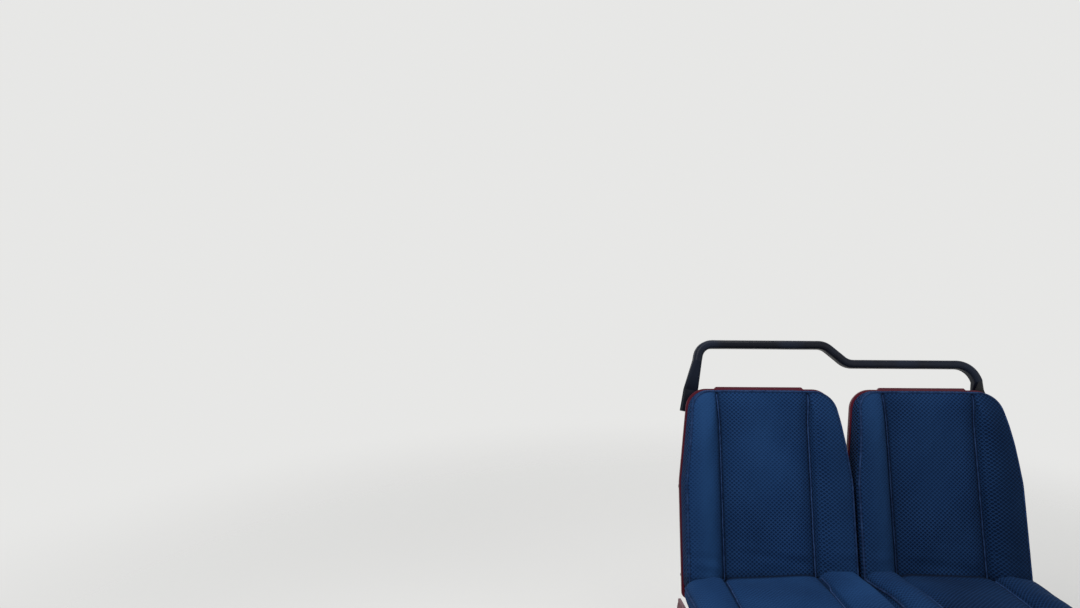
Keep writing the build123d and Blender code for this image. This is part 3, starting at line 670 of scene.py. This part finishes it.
def dress_seat(piece, x, seed):
    """Slack, folds, wear, painted light and shade, and cloth of one seat."""
    points = points_of(piece)
    across, run, front, seam, edge, belt = seat_fields(points, x)
    points = points + seat_shift(points, x)
    put_points(piece, points)
    loose = step(seam, 0.0, 0.03) * step(edge, 0.0, 0.03) * step(pan_rise(points), 0.01, 0.03)
    loose *= step(BIGHT.y - points[:, 1], 0.0, 0.05)
    folds = SEAT_WAVE * ripple(points, 0.15, seed)
    folds += SEAT_CRINKLE * ripple(points * [0.4, 1, 0.4], 0.03, seed + 1)
    put_points(piece, points + normals_of(piece) * (folds * loose)[:, None])
    # Paler places, partly wear and partly painted light: round the front, at the sides, in random
    # patches, and over the top of the aisle seat, which is lit while the window seat stands in
    # shade
    lit_and_used = 1.0 if x == SEAT_X["aisle"] else 0.3
    worn_and_lit = 0.35 * bell(run - 0.36, 0.07) + 0.12 * step(np.abs(across), 0.13, 0.18)
    worn_and_lit += 0.16 * (ripple(points, 0.12, seed + 3) + 0.5)
    worn_and_lit += 0.50 * lit_and_used * (1 - step(run, 0.16, 0.30))
    worn_and_lit *= step(points[:, 2], FRONT_WELT_Z - 0.01, FRONT_WELT_Z + 0.04)
    numbers_on(piece, "worn_and_lit", worn_and_lit)
    # Painted shade: the window seat darker, less so on its aisle side, with a little random mottle
    painted_shade = 0.12 if x == SEAT_X["aisle"] else 0.62 - 0.30 * step(-across, 0.10, 0.17)
    numbers_on(piece, "painted_shade", painted_shade + 0.10 * ripple(points, 0.2, seed + 5))
    # Painted shade along the seams, side piping and front piping, at the bight and under the front
    crease_shade = 0.85 * bell(seam, 0.0036) + 0.6 * bell(edge, 0.0045) + 0.7 * bell(belt, 0.0045)
    crease_shade += 0.9 * (1 - step(BIGHT.y + 0.02 - points[:, 1], 0.0, 0.014))
    crease_shade += 0.35 * (points[:, 2] < FRONT_WELT_Z) * (front < 0.03)
    numbers_on(piece, "crease_shade", crease_shade)

    def lay(corners, normals):
        u = corners[:, 0] - x
        side = (np.abs(normals[:, 0]) > 0.75)[:, None]
        over = np.stack([u, seat_run(corners)], 1)
        return np.where(side, np.stack([corners[:, 2], -corners[:, 1]], 1), over)
    weave_on(piece, lay)


def moved_copy(piece, name, shift):
    """Second cushion from the first one's mesh, moved along the row."""
    made = copy_of(piece, name)
    made.data.transform(Matrix.Translation((shift, 0, 0)))
    return made


backs, seats = {}, {}
backs["aisle"] = remeshed("aisle_back_cushion", "aisle_back_upholstery", VOXEL)
shape_back(backs["aisle"], SEAT_X["aisle"])
backs["window"] = moved_copy(backs["aisle"], "window_back_upholstery", PITCH)
seats["aisle"] = remeshed("aisle_seat_cushion", "aisle_seat_upholstery", VOXEL)
shape_seat(seats["aisle"], SEAT_X["aisle"])
seats["window"] = moved_copy(seats["aisle"], "window_seat_upholstery", PITCH)
for number, side in enumerate(("aisle", "window")):
    dress_back(backs[side], SEAT_X[side], 11 + 20 * number)
    dress_seat(seats[side], SEAT_X[side], 17 + 20 * number)
    for piece, kind in ((backs[side], "back"), (seats[side], "seat")):
        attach(piece, "root")
        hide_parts(f"{side}_{kind}_cushion")


# ---------------------------------------------------------------- piping

def surface_of(piece):
    """Tree that finds the nearest place on a piece, or where a line meets it."""
    mesh = bmesh.new()
    mesh.from_mesh(piece.data)
    tree = BVHTree.FromBMesh(mesh)
    mesh.free()
    return tree


def laid(tree, guesses, proud):
    """Points of a cord that lies on the cushion along a guessed line."""
    found = []
    for guess in guesses:
        place, normal, _, _ = tree.find_nearest(guess)
        found.append(place + normal * proud)
    for _ in range(2):
        eased = [(a + 2 * b + c) / 4 for a, b, c in zip(found, found[1:], found[2:])]
        found = [found[0]] + eased + [found[-1]]
    return found


def beads(name, runs):
    """Round beads along runs of (points, radius, material), joined into one piece."""
    made = []
    for points, radius, material in runs:
        curve = bpy.data.curves.new(name, "CURVE")
        curve.dimensions = "3D"
        curve.bevel_depth = radius
        curve.bevel_resolution = 2
        curve.use_fill_caps = True
        curve.materials.append(material)
        line = curve.splines.new("POLY")
        line.points.add(len(points) - 1)
        for dot, place in zip(line.points, points):
            dot.co = (*place, 1)
        piece = bpy.data.objects.new(name, curve)
        bpy.context.scene.collection.objects.link(piece)
        made.append(piece)
    only(*made)
    bpy.ops.object.convert(target="MESH")
    made = list(bpy.context.selected_objects)
    only(*made)
    bpy.ops.object.join()
    piece = bpy.context.view_layer.objects.active
    piece.name = name
    bpy.ops.object.mode_set(mode="EDIT")
    bpy.ops.mesh.select_all(action="SELECT")
    bpy.ops.mesh.normals_make_consistent(inside=False)
    bpy.ops.object.mode_set(mode="OBJECT")
    bpy.ops.object.shade_smooth()
    return piece


def spaced(first, last, count):
    """Evenly spaced numbers, both ends included."""
    return [first + (last - first) * n / (count - 1) for n in range(count)]


def back_edge_line(x):
    """Front edge of a back cushion, up one side, round its corners and down the other."""
    line = [(float(back_half(np.array(up))), up) for up in spaced(-0.02, BACK_TOP - CORNER_R, 60)]
    wide, high = line[-1][0] - CORNER_R, BACK_TOP - CORNER_R
    line += [(wide + CORNER_R * cos(turn), high + CORNER_R * sin(turn))
             for turn in spaced(0.0, pi / 2, 16)[1:]]
    line += [(across, BACK_TOP) for across in spaced(wide, 0.0, 24)[1:]]
    line = [(across - 0.0035, up if up < 0.4 else up - 0.003 * (up - 0.4) / 0.047)
            for across, up in line]
    ring = [(-across, up) for across, up in line]
    ring += reversed(line[:-1])
    return [from_back(across, up, -float(roll_at(np.array(up))) - 0.0015, x) for across, up in ring]


def shifted(line, x):
    """The line's points, moved as the seat's cloth is."""
    flat = np.array([tuple(point) for point in line])
    return [Vector(point) for point in flat + seat_shift(flat, x)]


def seat_edge_line(x, way):
    """Top side edge of a seat cushion, from the bight over the rounded front and down."""
    start_y, end_y = BIGHT.y - 0.004, SEAT_FRONT_Y + WATERFALL_R
    line = [(y, BIGHT.z + (SEAT_TOP_Z - BIGHT.z) * (BIGHT.y - y) / (BIGHT.y - SEAT_FRONT_Y))
            for y in spaced(start_y, end_y, 50)]
    line += [(end_y - WATERFALL_R * sin(turn), SEAT_TOP_Z - WATERFALL_R * (1 - cos(turn)))
             for turn in spaced(0.0, pi / 2, 14)[1:]]
    line += [(SEAT_FRONT_Y, z) for z in spaced(SEAT_TOP_Z - WATERFALL_R, 0.036, 14)[1:]]
    return [Vector((x + way * (HALF - 0.0015), y + 0.012, z - EDGE_DROP)) for y, z in line]


def seat_seam_line(x, way):
    """Seam beside a seat's centre panel, down to the piping across the front."""
    line = [Vector((x + way * SEAT_SEAM, p.y - 0.012, p.z + 0.004)) for p in seat_edge_line(x, way)]
    return [p for p in line if p.z > FRONT_WELT_Z or p.y > SEAT_FRONT_Y + 0.01]


def back_seam_line(x, way):
    """Seam beside a back's centre panel, from the bight to the top."""
    line = []
    for up in spaced(-0.012, BACK_TOP - 0.012, 90):
        out = -DISH - 0.2 * float(roll_at(np.array(up)))
        line.append(from_back(way * float(back_seam(np.array(up))), up, out, x))
    return line


def belt_line(x):
    """Line of the piping across a seat's front, with its ends wrapped round the corners."""
    line, corner = [], 0.014
    for across in spaced(-HALF + 0.001, HALF - 0.001, 90):
        wrap = corner * (max(abs(across) - HALF + corner, 0) / corner) ** 2
        line.append(Vector((x + across, SEAT_FRONT_Y + wrap, FRONT_WELT_Z)))
    return line


for side, x in SEAT_X.items():
    tree = surface_of(backs[side])
    runs = [(laid(tree, back_edge_line(x), PROUD), PIPING_R, SHADED_CORD)]
    for way in (-1, 1):
        line = laid(tree, back_seam_line(x, way), BACK_SEAM_PROUD)
        cord = SEAM_CORD if side == "aisle" else SHADED_CORD      # painted shade: the darker edge cord by the window
        runs.append((line, SEAM_PIPING_R, cord))
    piece = beads(f"{side}_back_piping", runs)
    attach(piece, "root")
    tree = surface_of(seats[side])
    runs = []
    for way in (-1, 1):
        edge, seam = [shifted(line(x, way), x) for line in (seat_edge_line, seat_seam_line)]
        runs.append((laid(tree, edge, PROUD), PIPING_R, SHADED_CORD))
        runs.append((laid(tree, seam, SEAT_SEAM_PROUD), SEAM_PIPING_R, SEAM_CORD))
    runs.append((laid(tree, belt_line(x), PROUD), PIPING_R, SHADED_CORD))
    piece = beads(f"{side}_seat_piping", runs)
    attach(piece, "root")


# ---------------------------------------------------------------- screws

def pan_screw(name, radius):
    """Round-headed screw with a socket, lying along +Z with its seat at the origin."""
    bpy.ops.mesh.primitive_cylinder_add(vertices=28, radius=radius, depth=radius * 0.6,
                                        location=(0, 0, radius * 0.3))
    screw = bpy.context.object
    screw.name = name
    only(screw)
    bpy.ops.object.transform_apply(location=True)
    bpy.ops.object.mode_set(mode="EDIT")
    mesh = bmesh.from_edit_mesh(screw.data)
    for face in mesh.faces:
        face.select = face.normal.z > 0.9
    bmesh.update_edit_mesh(screw.data)
    bpy.ops.mesh.bevel(offset=radius * 0.28, segments=3, profile=0.6)
    mesh = bmesh.from_edit_mesh(screw.data)
    top = max(face.calc_center_median().z for face in mesh.faces)
    for face in mesh.faces:
        face.select = face.normal.z > 0.9 and face.calc_center_median().z > top - 1e-6
    bmesh.update_edit_mesh(screw.data)
    bpy.ops.mesh.inset(thickness=radius * 0.34)
    bpy.ops.mesh.extrude_region_move(TRANSFORM_OT_translate={"value": (0, 0, -radius * 0.3)})
    bpy.ops.object.mode_set(mode="OBJECT")
    screw.data.materials.append(ZINC)
    bpy.ops.object.shade_smooth_by_angle(angle=radians(35))
    return screw


def set_screws(name, pattern, places):
    """Copies of a screw at (place, way) pairs, joined into one piece."""
    made = []
    for place, way in places:
        copy = copy_of(pattern, name)
        turn = Vector((0, 0, 1)).rotation_difference(way.normalized()).to_matrix().to_4x4()
        copy.data.transform(Matrix.Translation(place) @ turn)
        made.append(copy)
    only(*made)
    bpy.ops.object.join()
    made[0].name = name
    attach(made[0], "root")


def seat_of_screw(node, start, way):
    """Place and direction of a screw where a line from start meets a CAD node."""
    place, normal, _, _ = surface_of(nodes[node]).ray_cast(start, way)
    return place - normal * SCREW_SINK, normal


pattern = pan_screw("screw_pattern", SCREW_R)
for side, x in SEAT_X.items():
    places = []
    for way in (-1, 1):
        for up in BACK_SCREW_HEIGHTS:
            start = from_back(way * 0.26, up, -0.072, x)
            places.append(seat_of_screw(f"{side}_back_shell", start, Vector((-way, 0, 0))))
    set_screws(f"{side}_back_screws", pattern, places)
set_screws("skirt_screws", pattern, [
    seat_of_screw("aisle_seat_shell", Vector((BESIDE_SKIRT_X, y, z)), Vector((1, 0, 0)))
    for y, z in SKIRT_SCREWS])
bpy.data.objects.remove(pattern)


# ---------------------------------------------------------------- welds

def weld_ring(node, axis, end, grow=0.0006):
    """Ring of points round one end of a box-shaped steel piece, where it is welded on."""
    low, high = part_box(node)
    a, b = [n for n in range(3) if n != axis]
    level = (low if end < 0 else high)[axis] - end * 0.0008
    ring = []
    corners = [(low[a] - grow, low[b] - grow), (high[a] + grow, low[b] - grow),
               (high[a] + grow, high[b] + grow), (low[a] - grow, high[b] + grow)]
    for (a0, b0), (a1, b1) in zip(corners, corners[1:] + corners[:1]):
        for share in spaced(0.0, 1.0, 14)[:-1]:
            dot = Vector((0, 0, 0))
            dot[axis], dot[a], dot[b] = level, a0 + (a1 - a0) * share, b0 + (b1 - b0) * share
            ring.append(dot)
    return ring + ring[:2]


WELDED_ENDS = (("leg_post", 2, -1), ("leg_post", 2, 1), ("rear_cross_tube", 0, 1),
               ("front_cross_tube", 0, 1))     # node, axis and which end
welds = beads("welds", [(weld_ring(*end), WELD_R, STEEL) for end in WELDED_ENDS])
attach(welds, "root")


# ---------------------------------------------------------------- floor, light and camera

MIDDLE = (-0.46, 0.05, 0.3)        # middle of the pair, which the lamps are turned to
CAMERA_PLACE = (-1.27825, -1.5973, 0.9517)
CAMERA_PAN, CAMERA_TILT, CAMERA_ROLL = radians(-1.338), radians(84.262), radians(0.636)


def pale_world():
    """Soft light all round, with a paler backdrop for the camera, glass and gloss."""
    world = bpy.data.worlds.new("studio")
    bpy.context.scene.world = world
    world.use_nodes = True
    tree = world.node_tree
    tree.nodes.clear()
    path = tree.nodes.new("ShaderNodeLightPath")
    seen = tree.nodes.new("ShaderNodeMath")
    seen.operation = "MAXIMUM"
    clear = tree.nodes.new("ShaderNodeMath")
    clear.operation = "MAXIMUM"
    tree.links.new(path.outputs["Is Camera Ray"], seen.inputs[0])
    tree.links.new(path.outputs["Is Transmission Ray"], seen.inputs[1])
    tree.links.new(seen.outputs[0], clear.inputs[0])
    tree.links.new(path.outputs["Is Glossy Ray"], clear.inputs[1])
    soft = tree.nodes.new("ShaderNodeBackground")
    soft.inputs["Color"].default_value = (1, 1, 1, 1)
    soft.inputs["Strength"].default_value = 0.42
    pale = tree.nodes.new("ShaderNodeBackground")
    pale.inputs["Color"].default_value = (0.80, 0.80, 0.79, 1)
    pale.inputs["Strength"].default_value = 1.0
    both = tree.nodes.new("ShaderNodeMixShader")
    tree.links.new(clear.outputs[0], both.inputs[0])
    tree.links.new(soft.outputs[0], both.inputs[1])
    tree.links.new(pale.outputs[0], both.inputs[2])
    out = tree.nodes.new("ShaderNodeOutputWorld")
    tree.links.new(both.outputs[0], out.inputs["Surface"])


def pale_floor():
    """Round pale floor that fades into the backdrop."""
    x, z = MIDDLE[0], cad_box[0][2]
    bpy.ops.mesh.primitive_circle_add(vertices=96, radius=6.0, fill_type="NGON",
                                      location=(x, 0.0, z - 0.0005))
    floor = bpy.context.object
    floor.name = "studio_floor"
    bpy.ops.object.transform_apply(location=True)
    paint = Finish("floor_paint", rough=0.9, specular=0.1)
    paint.colour((0.74, 0.74, 0.73, 1))
    middle = paint.node("ShaderNodeVectorMath", operation="DISTANCE")
    paint.tree.links.new(paint.place, middle.inputs[0])
    middle.inputs[1].default_value = (x, 0.0, z)
    fade = paint.ramp(middle.outputs["Value"], 0.9, 3.4)
    clear = paint.node("ShaderNodeBsdfTransparent").outputs[0]
    both = paint.node("ShaderNodeMixShader")
    paint.tree.links.new(fade, both.inputs[0])
    paint.tree.links.new(paint.shader.outputs[0], both.inputs[1])
    paint.tree.links.new(clear, both.inputs[2])
    out = paint.tree.nodes["Material Output"]
    paint.tree.links.new(both.outputs[0], out.inputs["Surface"])
    floor.data.materials.append(paint.material)


def soft_lamp(name, place, aim, size, power):
    """Round area lamp turned towards a point."""
    lamp = bpy.data.lights.new(name, "AREA")
    lamp.shape = "DISK"
    lamp.size = size
    lamp.energy = power
    made = bpy.data.objects.new(name, lamp)
    bpy.context.scene.collection.objects.link(made)
    made.location = place
    made.rotation_euler = (Vector(aim) - Vector(place)).to_track_quat("-Z", "Y").to_euler()


pale_world()
pale_floor()
soft_lamp("key", (-2.3, -1.2, 2.3), MIDDLE, 1.3, 46)
soft_lamp("top", (-0.6, -0.4, 2.9), MIDDLE, 1.6, 34)
soft_lamp("fill", (1.5, -2.2, 1.9), MIDDLE, 2.2, 16)
soft_lamp("rear", (-0.3, 2.4, 2.2), MIDDLE, 1.6, 18)

view = bpy.data.cameras.new("camera")
view.lens = 25.0
view.sensor_width = 36.0
camera = bpy.data.objects.new("camera", view)
bpy.context.scene.collection.objects.link(camera)
turn = (Matrix.Rotation(CAMERA_PAN, 4, "Z") @ Matrix.Rotation(CAMERA_TILT, 4, "X")
        @ Matrix.Rotation(CAMERA_ROLL, 4, "Z"))
camera.matrix_world = Matrix.Translation(CAMERA_PLACE) @ turn
bpy.context.scene.camera = camera
bpy.context.scene.view_settings.view_transform = "Standard"
